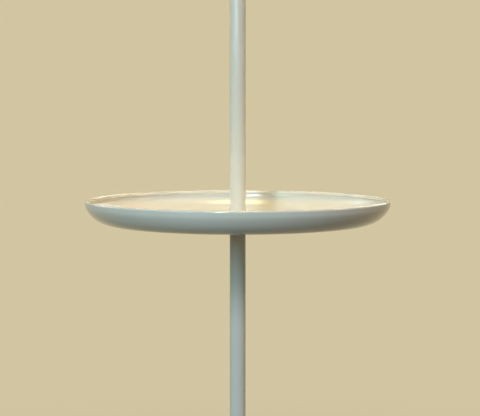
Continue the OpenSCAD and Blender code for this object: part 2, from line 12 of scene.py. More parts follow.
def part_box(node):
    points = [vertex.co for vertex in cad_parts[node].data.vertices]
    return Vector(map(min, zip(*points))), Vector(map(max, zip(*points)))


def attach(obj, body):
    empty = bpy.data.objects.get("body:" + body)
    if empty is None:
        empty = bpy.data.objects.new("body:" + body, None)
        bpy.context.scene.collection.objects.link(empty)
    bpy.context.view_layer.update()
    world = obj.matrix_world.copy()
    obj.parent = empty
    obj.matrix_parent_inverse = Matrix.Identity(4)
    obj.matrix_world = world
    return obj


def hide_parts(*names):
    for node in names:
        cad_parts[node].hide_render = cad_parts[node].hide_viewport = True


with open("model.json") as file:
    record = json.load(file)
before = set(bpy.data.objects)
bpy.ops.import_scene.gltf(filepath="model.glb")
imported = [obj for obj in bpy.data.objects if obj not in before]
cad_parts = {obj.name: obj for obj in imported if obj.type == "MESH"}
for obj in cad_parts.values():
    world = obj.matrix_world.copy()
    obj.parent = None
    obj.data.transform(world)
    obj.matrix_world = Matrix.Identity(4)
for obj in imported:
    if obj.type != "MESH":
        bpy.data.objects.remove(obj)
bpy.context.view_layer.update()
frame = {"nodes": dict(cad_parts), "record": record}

bl_info = {
    "name": "Floor lamp with tray",
    "version": (1, 0, 0),
    "blender": (4, 5, 0),
    "location": "3D View > Sidebar > Floor Lamp",
    "description": "Dresses the packed floor lamp: finishes, tray, lampholder, shade and studio",
    "category": "Object",
}

MM = 0.001

# shares of light that go through the cover, and through the linen of its lap, which has no film
COVER_CLEAR = 0.34
LAP_CLEAR = 0.82


def linear(hex_colour):
    """The linear colour of an sRGB hex value."""
    parts = [int(hex_colour[i:i + 2], 16) / 255 for i in (1, 3, 5)]
    return tuple(c / 12.92 if c <= 0.04045 else ((c + 0.055) / 1.055) ** 2.4
                 for c in parts) + (1.0,)


def scaled(colour, factors):
    """A colour with its red, green and blue each times a factor."""
    return tuple(c * f for c, f in zip(colour, factors)) + (1.0,)


def node_box(name):
    """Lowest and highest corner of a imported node, in millimetres."""
    low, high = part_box(name)
    return low / MM, high / MM


def new_object(name, data):
    """An object in the scene, for a mesh, a light or a camera."""
    item = bpy.data.objects.new(name, data)
    bpy.context.scene.collection.objects.link(item)
    return item


# ---- What a user may change ----


class EnamelSettings(bpy.types.PropertyGroup):
    """The white enamel of the pole, the tray and the base"""

    colour: bpy.props.FloatVectorProperty(
        name="Colour", description="Colour of the stoved enamel",
        subtype="COLOR", size=4, min=0, max=1, default=linear("#F0EFEA"))
    roughness: bpy.props.FloatProperty(
        name="Roughness", description="0 is a mirror gloss, 1 is chalky",
        subtype="FACTOR", min=0.05, max=0.8, default=0.12)
    ripple_size: bpy.props.FloatProperty(
        name="Ripple size", description="Size of the orange peel left by the spray gun",
        subtype="DISTANCE", unit="LENGTH", min=0.5 * MM, max=10 * MM, default=3.5 * MM)
    ripple_depth: bpy.props.FloatProperty(
        name="Ripple depth", description="Depth of the orange peel",
        subtype="DISTANCE", unit="LENGTH", min=0, max=0.1 * MM, default=0.012 * MM)


class ShadeSettings(bpy.types.PropertyGroup):
    """The linen shade and the light inside it"""

    linen_colour: bpy.props.FloatVectorProperty(
        name="Linen", description="Colour of the woven linen",
        subtype="COLOR", size=4, min=0, max=1, default=linear("#F1EADB"))
    film_colour: bpy.props.FloatVectorProperty(
        name="Film", description="Colour of the white film behind the linen",
        subtype="COLOR", size=4, min=0, max=1, default=linear("#F4F1E8"))
    thread_pitch: bpy.props.FloatProperty(
        name="Thread pitch",
        description="Distance from thread to thread, coarser than real so that it shows",
        subtype="DISTANCE", unit="LENGTH", min=0.3 * MM, max=5 * MM, default=1.4 * MM)
    seam_lap: bpy.props.FloatProperty(
        name="Seam lap", description="How far the cover laps over itself at the back",
        subtype="DISTANCE", unit="LENGTH", min=5 * MM, max=25 * MM, default=13 * MM)
    lamp_power: bpy.props.FloatProperty(
        name="Lamp power", description="Light that the lamp gives to the inside of its shade",
        subtype="POWER", unit="POWER", min=0, max=20, default=2.2)
    mouth_power: bpy.props.FloatProperty(
        name="Light on the tray", description="Light that falls out of the shade's lower end",
        subtype="POWER", unit="POWER", min=0, max=40, default=0.375)


class StageSettings(bpy.types.PropertyGroup):
    """The studio round the lamp"""

    background: bpy.props.FloatVectorProperty(
        name="Background", description="Colour of the backdrop and of the far floor",
        subtype="COLOR", size=4, min=0, max=1, default=linear("#D2C6A2"))
    floor: bpy.props.FloatVectorProperty(
        name="Floor", description="Colour of the floor round the base",
        subtype="COLOR", size=4, min=0, max=1, default=linear("#F3EBD6"))
    key_power: bpy.props.FloatProperty(
        name="High daylight",
        description="Power of the softbox high in front, a little to the left",
        subtype="POWER", unit="POWER", min=0, max=500, default=36.7)
    strip_power: bpy.props.FloatProperty(
        name="Strip light",
        description="Power of the narrow upright softbox below it, which gives the pole its glint",
        subtype="POWER", unit="POWER", min=0, max=500, default=15.2)
    side_power: bpy.props.FloatProperty(
        name="Side light", description="Power of the cool softbox on the left",
        subtype="POWER", unit="POWER", min=0, max=500, default=9.9)
    fill_power: bpy.props.FloatProperty(
        name="Fill light", description="Power of the warm softbox on the right",
        subtype="POWER", unit="POWER", min=0, max=500, default=14)
    back_power: bpy.props.FloatProperty(
        name="Back light",
        description="Power of both large softboxes behind, for the views from the other sides",
        subtype="POWER", unit="POWER", min=0, max=500, default=34)
    lens: bpy.props.FloatProperty(
        name="Lens", description="Focal length of the camera on a 36 mm wide sensor",
        subtype="DISTANCE_CAMERA", unit="CAMERA", min=20, max=300, default=96.0)


# ---- Node helpers ----


def add(tree, kind, inputs=None, **settings):
    """Adds a node with its settings. An input is a value or the output of another node."""
    node = tree.nodes.new(kind)
    for name, value in settings.items():
        setattr(node, name, value)
    for socket, value in (inputs or {}).items():
        if isinstance(value, bpy.types.NodeSocket):
            tree.links.new(value, node.inputs[socket])
        else:
            node.inputs[socket].default_value = value
    return node


def calc(tree, operation, *terms):
    """The result of one step of arithmetic on numbers and outputs."""
    return add(tree, "ShaderNodeMath", dict(enumerate(terms)), operation=operation).outputs[0]


def ramp(tree, value, low, high, first=0.0, last=1.0, curve="LINEAR"):
    """Runs from first to last as value goes from low to high."""
    inputs = {0: value, 1: low, 2: high, 3: first, 4: last}
    return add(tree, "ShaderNodeMapRange", inputs, interpolation_type=curve).outputs[0]


def blend(tree, share, first, second):
    """The first colour where share is 0, and the second where it is 1."""
    inputs = {0: share, 6: first, 7: second}
    return add(tree, "ShaderNodeMix", inputs, data_type="RGBA").outputs[2]


def shows(tree):
    """1 for rays that show a thing, straight, mirrored or through glass, and 0 for those that
    light the lamp."""
    ray = add(tree, "ShaderNodeLightPath").outputs
    direct = calc(tree, "MAXIMUM", ray["Is Camera Ray"], ray["Is Glossy Ray"])
    return calc(tree, "MAXIMUM", direct, ray["Is Transmission Ray"])


def mix_surface(tree, share, first, second):
    """Makes the surface a mixture, with a share of the second shader."""
    mixed = add(tree, "ShaderNodeMixShader",
                {0: share, 1: first.outputs[0], 2: second.outputs[0]})
    tree.links.new(mixed.outputs[0], tree.nodes["Material Output"].inputs["Surface"])


def new_finish(name, roughness, **values):
    """A material with one Principled shader, and the object's own coordinates in metres."""
    material = bpy.data.materials.new(name)
    material.use_nodes = True
    tree = material.node_tree
    shader = tree.nodes["Principled BSDF"]
    shader.inputs["Roughness"].default_value = roughness
    for socket, value in values.items():
        shader.inputs[socket.replace("_", " ")].default_value = value
    where = add(tree, "ShaderNodeTexCoord").outputs["Object"]
    return material, tree, shader, where


def grain(tree, where, size_mm, detail, distortion=0.0):
    """Noise whose lumps are about size_mm across."""
    return add(tree, "ShaderNodeTexNoise", {"Scale": 1 / (size_mm * MM), "Detail": detail,
                                            "Distortion": distortion, "Vector": where}).outputs[0]


def tint(tree, shader, light, dark, factor, low=0.35, high=0.65):
    """Runs the base colour from dark to light as factor goes from low to high."""
    mixed = blend(tree, ramp(tree, factor, low, high), dark, light)
    tree.links.new(mixed, shader.inputs["Base Color"])
    return mixed


def gloss(tree, shader, smooth, rough, factor):
    """Runs the roughness from smooth to rough as factor goes from 0.35 to 0.65."""
    tree.links.new(ramp(tree, factor, 0.35, 0.65, smooth, rough), shader.inputs["Roughness"])


def relief(tree, shader, height, depth_mm, after=None):
    """Presses a height pattern, 0 to 1, into the surface."""
    bump = add(tree, "ShaderNodeBump",
               {"Strength": 1.0, "Distance": depth_mm * MM, "Height": height})
    if after:
        tree.links.new(after, bump.inputs["Normal"])
    tree.links.new(bump.outputs[0], shader.inputs["Normal"])
    return bump.outputs[0]


# ---- Outline and mesh helpers ----


def rounded(corners, steps=5):
    """Turns each (radius, height, corner radius) corner of a closed outline into an arc."""
    points = []
    for index, (x, z, r) in enumerate(corners):
        here = Vector((x, z))
        to_last = (Vector(corners[index - 1][:2]) - here).normalized()
        to_next = (Vector(corners[(index + 1) % len(corners)][:2]) - here).normalized()
        if r <= 0:
            points.append(tuple(here))
            continue
        half = to_last.angle(to_next) / 2
        centre = here + (to_last + to_next).normalized() * (r / math.sin(half))
        start = here + to_last * (r / math.tan(half)) - centre
        end = here + to_next * (r / math.tan(half)) - centre
        a0 = math.atan2(start.y, start.x)
        sweep = (math.atan2(end.y, end.x) - a0 + math.pi) % (2 * math.pi) - math.pi
        for step in range(steps + 1):
            a = a0 + sweep * step / steps
            points.append((centre.x + r * math.cos(a), centre.y + r * math.sin(a)))
    return points


def arc(centre, r, a0, a1, steps):
    """Points on an arc from a0 to a1 degrees, both ends included."""
    angles = [math.radians(a0 + (a1 - a0) * step / steps) for step in range(steps + 1)]
    return [(centre[0] + r * math.cos(a), centre[1] + r * math.sin(a)) for a in angles]


def fill_in(points, spacing):
    """Adds points along the straight runs of an open line, no further apart than spacing."""
    filled = [points[0]]
    for last, here in zip(points, points[1:]):
        parts = max(1, math.ceil(math.dist(last, here) / spacing))
        for part in range(1, parts + 1):
            filled.append(tuple(a + (b - a) * part / parts for a, b in zip(last, here)))
    return filled


def ease(low, high, value):
    """0 at low, 1 at high, and smooth between."""
    t = min(1.0, max(0.0, (value - low) / (high - low)))
    return t * t * (3 - 2 * t)


def ring_noise(lobes, angle, level):
    """Noise from -1 to 1 that closes on itself round the z axis."""
    return noise.noise(Vector((lobes * math.cos(angle), lobes * math.sin(angle), level)))


def place(name, mesh, body, slot, sharp, replaced=(), finishes=None):
    """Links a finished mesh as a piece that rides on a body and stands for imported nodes. Edges
    bent by more than sharp degrees stay sharp."""
    mesh.shade_smooth()
    mesh.set_sharp_from_angle(angle=math.radians(sharp))
    for finish in finishes or [finish_for(slot)]:
        mesh.materials.append(finish)
    piece = new_object(name, mesh)
    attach(piece, body)
    if replaced:
        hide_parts(*replaced)
    return piece


def new_mesh(name, vertices, faces, spots=None):
    """A mesh, with a UV map in metres where spots gives a place for each corner of each face."""
    mesh = bpy.data.meshes.new(name)
    mesh.from_pydata(vertices, [], faces)
    if spots:
        layer = mesh.uv_layers.new(name="metres")
        layer.data.foreach_set("uv", [value for spot in spots for value in spot])
    return mesh


def tidy_mesh(mesh):
    """Joins points that meet, drops faces with no area and turns every face outwards."""
    work = bmesh.new()
    work.from_mesh(mesh)
    bmesh.ops.remove_doubles(work, verts=work.verts, dist=1e-7)
    bmesh.ops.dissolve_degenerate(work, edges=work.edges, dist=1e-7)
    bmesh.ops.recalc_face_normals(work, faces=work.faces)
    work.to_mesh(mesh)
    work.free()
    return mesh


def turned_mesh(name, outline, segments, shape, second_finish=None, closed=True):
    """Sweeps a (radius, height) outline round the z axis. shape(radius, height, angle) moves each
    point, and second_finish(index) says which rows of faces take the second material."""
    rows = len(outline)
    lengths = [0.0]
    for index in range(rows):
        lengths.append(lengths[-1] + math.dist(outline[index], outline[(index + 1) % rows]))
    mean_r = sum(point[0] for point in outline) / rows
    across = 2 * math.pi * mean_r * MM / segments
    vertices, faces, finishes, spots = [], [], [], []
    for column in range(segments):
        angle = 2 * math.pi * column / segments
        for point in outline:
            r, z = shape(*point, angle)
            vertices.append((r * MM * math.cos(angle), r * MM * math.sin(angle), z * MM))
    for column in range(segments):
        this, after = column * rows, (column + 1) % segments * rows
        for index in range(rows if closed else rows - 1):
            up = (index + 1) % rows
            faces.append((this + index, after + index, after + up, this + up))
            finishes.append(1 if second_finish and second_finish(index) else 0)
            low, high = lengths[index] * MM, lengths[index + 1] * MM
            spots += [(column * across, low), ((column + 1) * across, low),
                      ((column + 1) * across, high), (column * across, high)]
    mesh = new_mesh(name, vertices, faces, spots)
    mesh.polygons.foreach_set("material_index", finishes)
    return tidy_mesh(mesh)


def lofted_mesh(name, sections):
    """Skins a run of closed sections of (x, y, z) points, and closes both ends."""
    count = len(sections[0])
    vertices = [Vector(point) * MM for section in sections for point in section]
    faces = []
    for row in range(len(sections) - 1):
        for column in range(count):
            beside = (column + 1) % count
            faces.append((row * count + column, row * count + beside,
                          (row + 1) * count + beside, (row + 1) * count + column))
    last = (len(sections) - 1) * count
    faces.append(tuple(range(count)))
    faces.append(tuple(last + column for column in range(count)))
    return tidy_mesh(new_mesh(name, vertices, faces))


def joined_mesh(name, parts):
    """One mesh out of several, each given with the matrix that puts it in place."""
    work = bmesh.new()
    for mesh, matrix in parts:
        mesh.transform(matrix)
        work.from_mesh(mesh)
        bpy.data.meshes.remove(mesh)
    mesh = bpy.data.meshes.new(name)
    work.to_mesh(mesh)
    work.free()
    return mesh


# ---- Finishes ----


def two_tone(name, roughness, tones, clouds, texture, depth_mm, shine=None, spread=(0.35, 0.65),
             **values):
    """A finish with a light and a dark tone in clouds, a fine texture and, with shine, an uneven
    gloss. clouds and texture hold the size in mm and the detail of their noise. So does shine,
    after its least and its greatest roughness."""
    material, tree, shader, where = new_finish(name, roughness, **values)
    light, dark = (linear(tone) for tone in tones)
    tint(tree, shader, light, dark, grain(tree, where, *clouds), *spread)
    if shine:
        smooth, rough, *patches = shine
        gloss(tree, shader, smooth, rough, grain(tree, where, *patches))
    relief(tree, shader, grain(tree, where, *texture), depth_mm)
    return material


def stoved_enamel():
    """Gloss stoved enamel: sprayed on steel and baked. It is glassy, with a low ripple and a faint
    unevenness of tone."""
    settings = bpy.context.scene.lamp_enamel
    material, tree, shader, where = new_finish(
        "gloss stoved enamel", settings.roughness, IOR=1.52, Coat_Weight=0.25, Coat_Roughness=0.06)
    pure = tuple(settings.colour)
    # thinner film looks a shade greyer and warmer, in clouds a hand wide
    thin = scaled(pure, (0.975, 0.968, 0.945))
    tint(tree, shader, pure, thin, grain(tree, where, 90, 3))
    # handling leaves it a little duller in places
    gloss(tree, shader, settings.roughness * 0.85, settings.roughness * 1.35,
          grain(tree, where, 55, 4))
    peel = grain(tree, where, settings.ripple_size / MM, 1)
    fine = relief(tree, shader, grain(tree, where, 0.8, 2), 0.0015)
    relief(tree, shader, peel, settings.ripple_depth / MM, after=fine)
    return material


def lacquered_cast_iron():
    """Grey cast iron, as cast in sand and dipped in dark lacquer: dull, grainy, with small pits."""
    material, tree, shader, where = new_finish("lacquered cast iron", 0.62, IOR=1.5)
    tint(tree, shader, linear("#45474A"), linear("#2B2C2E"), grain(tree, where, 14, 5))
    gloss(tree, shader, 0.45, 0.75, grain(tree, where, 6, 3))
    sand = relief(tree, shader, grain(tree, where, 1.1, 4), 0.18)
    pits = add(tree, "ShaderNodeTexVoronoi", {"Scale": 1 / (7 * MM), "Vector": where}).outputs[0]
    relief(tree, shader, ramp(tree, pits, 0.0, 0.16), 0.25, after=sand)
    return material


def pressed_wool_felt():
    """Pressed wool felt: matted fibre in a warm grey mix, quite matt, with a soft edge light."""
    material, tree, shader, where = new_finish(
        "pressed wool felt", 0.95, IOR=1.4, Sheen_Weight=0.35, Sheen_Roughness=0.5)
    # fibres are 0.03 mm thick and drawn far thicker, so that they show
    fibre = grain(tree, where, 0.9, 5, 2.5)
    tint(tree, shader, linear("#85807A"), linear("#4E4A45"), fibre, 0.3, 0.7)
    relief(tree, shader, fibre, 0.35)
    return material


def bright_zinc_plate():
    """Steel with bright zinc plate: blue-grey metal with cloudy spangle and fine turning marks."""
    material, tree, shader, where = new_finish("bright zinc plate", 0.34, Metallic=1.0)
    tint(tree, shader, linear("#C9CCCF"), linear("#9BA0A6"), grain(tree, where, 2.5, 4))
    gloss(tree, shader, 0.26, 0.46, grain(tree, where, 1.6, 3))
    # turning marks are 0.1 mm apart and drawn at 0.5 mm: the wave has about pi marks in a unit
    mark_gap = 0.5 * MM
    marks = add(tree, "ShaderNodeTexWave",
                {"Scale": 1 / (math.pi * mark_gap), "Distortion": 0.6, "Vector": where},
                bands_direction="Z").outputs[1]
    relief(tree, shader, marks, 0.015)
    return material


def white_solder_mask():
    """White solder mask on an aluminium circuit board: flat satin, with faint tracks under it."""
    material, tree, shader, where = new_finish("white solder mask", 0.38, IOR=1.55)
    tracks = add(tree, "ShaderNodeTexBrick",
                 {"Scale": 1 / (9 * MM), "Color1": linear("#EDF0EC"), "Color2": linear("#E4E8E3"),
                  "Mortar": linear("#C6CCC6"), "Mortar Size": 0.03, "Vector": where}).outputs[0]
    tree.links.new(tracks, shader.inputs["Base Color"])
    relief(tree, shader, grain(tree, where, 0.8, 2), 0.01)
    return material


def weave_pattern(tree, pitch):
    """Heights of a plain weave on the UV map, which is in metres, and the slubs of its threads."""
    spot = add(tree, "ShaderNodeUVMap", uv_map="metres").outputs[0]
    axes = add(tree, "ShaderNodeSeparateXYZ", {0: spot}).outputs
    # a thread is not quite straight, so each axis is pushed about by a tenth of the pitch or so
    drift = calc(tree, "MULTIPLY", grain(tree, spot, 12, 2), pitch * 0.8)
    waves = []
    for axis in (0, 1):
        moved = calc(tree, "ADD", axes[axis], drift)
        waves.append(calc(tree, "SINE", calc(tree, "MULTIPLY", moved, math.pi / pitch)))
    # over and under: the product of both waves is a chequerboard of rounded crossings
    height = ramp(tree, calc(tree, "MULTIPLY", *waves), -1.0, 1.0)
    # a slub is a thick place 0.5 mm high and 30 to 60 mm long, drawn 2 mm high
    weft, warp, thick = 1 / (45 * MM), 1 / (60 * MM), 1 / (2 * MM)
    slubs = []
    for scale in ((weft, thick, 1.0), (thick, warp, 1.0)):
        streaks = add(tree, "ShaderNodeMapping", {0: spot, "Scale": scale}).outputs[0]
        slubs.append(add(tree, "ShaderNodeTexNoise",
                         {"Scale": 1.0, "Detail": 3.0, "Vector": streaks}).outputs[0])
    return height, calc(tree, "MAXIMUM", *slubs)


def lit_cloth(tree, shader, colour, clear):
    """Lets a share of the light through the cloth, in the cloth's own colour."""
    through = add(tree, "ShaderNodeBsdfTranslucent", {"Color": colour})
    mix_surface(tree, clear, shader, through)


def woven_linen(name="woven linen", clear=COVER_CLEAR):
    """Linen in a plain weave, glued on film: matt, natural off white, with long slubs both ways."""
    settings = bpy.context.scene.lamp_shade
    material, tree, shader, _ = new_finish(
        name, 0.88, IOR=1.45, Sheen_Weight=0.12, Sheen_Roughness=0.5)
    height, slub = weave_pattern(tree, settings.thread_pitch)
    pale = tuple(settings.linen_colour)
    flax = scaled(pale, (0.90, 0.87, 0.80))
    colour = tint(tree, shader, flax, pale, slub, 0.5, 0.78)
    threads = relief(tree, shader, height, 0.12)
    relief(tree, shader, slub, 0.25, after=threads)
    lit_cloth(tree, shader, colour, clear)
    return material


def lapped_linen():
    """The outer layer of the lap: the same linen without film, which dims the lamp by much less."""
    return woven_linen("lapped linen", LAP_CLEAR)


def shade_film():
    """White film under the linen: smooth satin, with the threads faintly printed through, and a
    painted shadow where the linen's slubs lie behind it.
    """
    settings = bpy.context.scene.lamp_shade
    material, tree, shader, _ = new_finish("white shade film", 0.42, IOR=1.5)
    height, slub = weave_pattern(tree, settings.thread_pitch)
    white = tuple(settings.film_colour)
    # painted shadow: the film is made darker where the linen's thick slubs lie behind it
    shadow = scaled(white, (0.96, 0.94, 0.90))
    colour = tint(tree, shader, shadow, white, slub, 0.5, 0.8)
    relief(tree, shader, height, 0.02)
    lit_cloth(tree, shader, colour, COVER_CLEAR)
    return material


FINISHES = {
    "white_enamel": stoved_enamel,
    "cast_iron": lacquered_cast_iron,
    "felt": pressed_wool_felt,
    # Black rubber, moulded: dark, low gloss, with a fine bloom
    "black_rubber": lambda: two_tone(
        "moulded black rubber", 0.55, ("#37373A", "#1F1F21"), (3, 4), (0.5, 3), 0.02, IOR=1.52),
    "zinc_plate": bright_zinc_plate,
    # Natural nylon sheet, punched: milky, waxy and slightly see-through at its edges
    "nylon": lambda: two_tone(
        "natural nylon", 0.45, ("#EAE7DC", "#DAD5C4"), (5, 3), (0.7, 3), 0.015, IOR=1.53,
        Subsurface_Weight=0.3, Subsurface_Scale=1.5 * MM),
    # White thermoset, moulded: hard and glossy, a little cream, with faint flow marks
    "white_phenolic": lambda: two_tone(
        "white moulded thermoset", 0.24, ("#EDEAE1", "#E8E4D9"), (9, 3, 1.2), (1.5, 2), 0.003,
        shine=(0.23, 0.28, 4, 3), IOR=1.56),
    # Steatite, pressed and fired without glaze: chalky, off white, with tiny dark grains
    "steatite": lambda: two_tone(
        "unglazed steatite", 0.7, ("#E9E4D8", "#C9C0AD"), (0.8, 5), (0.6, 4), 0.04,
        spread=(0.28, 0.5), IOR=1.58),
    # Brass strip, pressed and left bare: warm metal that has gone brown in clouds
    "brass": lambda: two_tone(
        "pressed brass", 0.32, ("#D9B45C", "#A98038"), (3.5, 4), (0.5, 3), 0.01,
        shine=(0.24, 0.45, 2, 3), Metallic=1.0),
    # Lamp cap of brass with nickel plate: pale warm metal with fine drawing marks
    "nickel_plate": lambda: two_tone(
        "nickel plated brass", 0.28, ("#D2CCBF", "#B3AA98"), (4, 4), (0.6, 2), 0.008,
        shine=(0.22, 0.36, 1.5, 3), Metallic=1.0),
    # Black glass, fused into the lamp's cap: dark violet, very smooth, with small bubbles
    "black_glass": lambda: two_tone(
        "fused black glass", 0.08, ("#24202B", "#131117"), (3, 2), (1.2, 2), 0.02, IOR=1.52),
    # White polycarbonate, moulded over the lamp's heat spreader: satin, cool white
    "lamp_plastic": lambda: two_tone(
        "white moulded polycarbonate", 0.36, ("#EFEEEA", "#E4E2DB"), (12, 3), (0.6, 3), 0.012,
        IOR=1.58),
    # Opal polycarbonate, blow moulded and frosted: milky, and lit from behind by the lamp's diodes
    "opal_plastic": lambda: two_tone(
        "opal polycarbonate", 0.5, ("#FBF5E6", "#F2E9D4"), (20, 2), (0.5, 3), 0.012, IOR=1.58,
        Subsurface_Weight=0.2, Subsurface_Scale=2 * MM, Emission_Color=linear("#FFE2B4"),
        Emission_Strength=0.9),
    "circuit_board": white_solder_mask,
    # Yellow phosphor in silicone, cast over each diode: soft gloss, with settled grains
    "phosphor": lambda: two_tone(
        "cast phosphor silicone", 0.3, ("#F2D46B", "#DDB23F"), (0.4, 4), (0.3, 3), 0.01, IOR=1.42,
        Subsurface_Weight=0.3, Subsurface_Scale=1 * MM),
    # White powder coat on wire: satin, with an even texture of 0.2 mm, drawn at 0.8 mm
    "wire_enamel": lambda: two_tone(
        "satin powder coat", 0.36, ("#EFEDE6", "#E2DFD5"), (6, 3), (0.8, 1), 0.008, IOR=1.5),
    "shade_linen": woven_linen,
}
made_finishes = {}


def finish_for(slot):
    """The material for one of the record's slots, made once."""
    if slot not in made_finishes:
        made_finishes[slot] = FINISHES[slot]()
    return made_finishes[slot]


# ---- Steps ----


class LampOperator(bpy.types.Operator):
    """What the steps below share"""

    bl_options = {"REGISTER", "UNDO"}


class LAMP_OT_finishes(LampOperator):
    """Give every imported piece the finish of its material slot"""

    bl_idname = "lamp.finishes"
    bl_label = "Finishes"

    def execute(self, context):
        for subpart in frame["record"]["subparts"]:
            mesh = frame["nodes"][subpart["node"]].data
            mesh.materials.clear()
            mesh.materials.append(finish_for(subpart["material_slot"]))
        return {"FINISHED"}


class LAMP_OT_tray(LampOperator):
    """Spin the dish tray, with its rolled lip"""

    bl_idname = "lamp.tray"
    bl_label = "Tray"

    def execute(self, context):
        low, high = node_box("tray")
        sheet, lip_r, bore_r = 1.6, 2.5, 5.2
        curve_r, curve_end, shoulder_r, rim_angle = 36.0, 62.0, 13.0, 84.0
        bevel, broken = 0.3, 0.2
        curve_steps, shoulder_steps, lip_steps, floor_step = 20, 7, 30, 12
        inside = low.z + sheet
        lip = (high.x - lip_r, high.z - lip_r)
        bend, lean = math.radians(curve_end), math.radians(rim_angle)
        # the outer face runs flush into the lip, so it is found from the lip downwards
        rim_top = (lip[0] + lip_r * math.sin(lean), lip[1] - lip_r * math.cos(lean))
        shoulder_z = low.z + curve_r * (1 - math.cos(bend))
        rim_z = shoulder_z + shoulder_r * (math.cos(bend) - math.cos(lean))
        rim_x = rim_top[0] - (rim_top[1] - rim_z) / math.tan(lean)
        shoulder_x = rim_x - shoulder_r * (math.sin(lean) - math.sin(bend))
        floor_r = shoulder_x - curve_r * math.sin(bend)
        wide = (floor_r, low.z + curve_r)
        tight = (shoulder_x - shoulder_r * math.sin(bend), shoulder_z + shoulder_r * math.cos(bend))
        # the lip is rolled inwards, and its edge comes back to the sheet's inner face
        back = rim_angle + 180 + math.degrees(math.asin((lip_r - sheet) / lip_r))
        outline = [(bore_r, low.z)]
        outline += fill_in([(bore_r + bevel, low.z), (floor_r, low.z)], floor_step)
        outline += arc(wide, curve_r, -90, curve_end - 90, curve_steps)[1:]
        outline += arc(tight, shoulder_r, curve_end - 90, rim_angle - 90, shoulder_steps)[1:]
        outline += arc(lip, lip_r, rim_angle - 90, back, lip_steps)
        outline += arc(tight, shoulder_r - sheet, rim_angle - 90, curve_end - 90, shoulder_steps)
        outline += arc(wide, curve_r - sheet, curve_end - 90, -90, curve_steps)[1:]
        outline += fill_in([(floor_r, inside), (bore_r + bevel, inside)], floor_step)[1:]
        outline += [(bore_r, inside - broken)]

        # a spun floor is never quite flat: it lifts in broad waves, which die away at both ends
        wave, waves_per_mm, fade, still_r, moving_r = 0.15, 0.012, 40, 40, 70

        def shape(radius, height, angle):
            if height >= inside + 0.1:
                return radius, height
            share = ease(floor_r, floor_r - fade, radius) * ease(still_r, moving_r, radius)
            return radius, height + wave * share * ring_noise(radius * waves_per_mm, angle, 3)

        mesh = turned_mesh("tray_spun", outline, 320, shape)
        place("tray_spun", mesh, "stand", "white_enamel", 50, ["tray"])
        return {"FINISHED"}


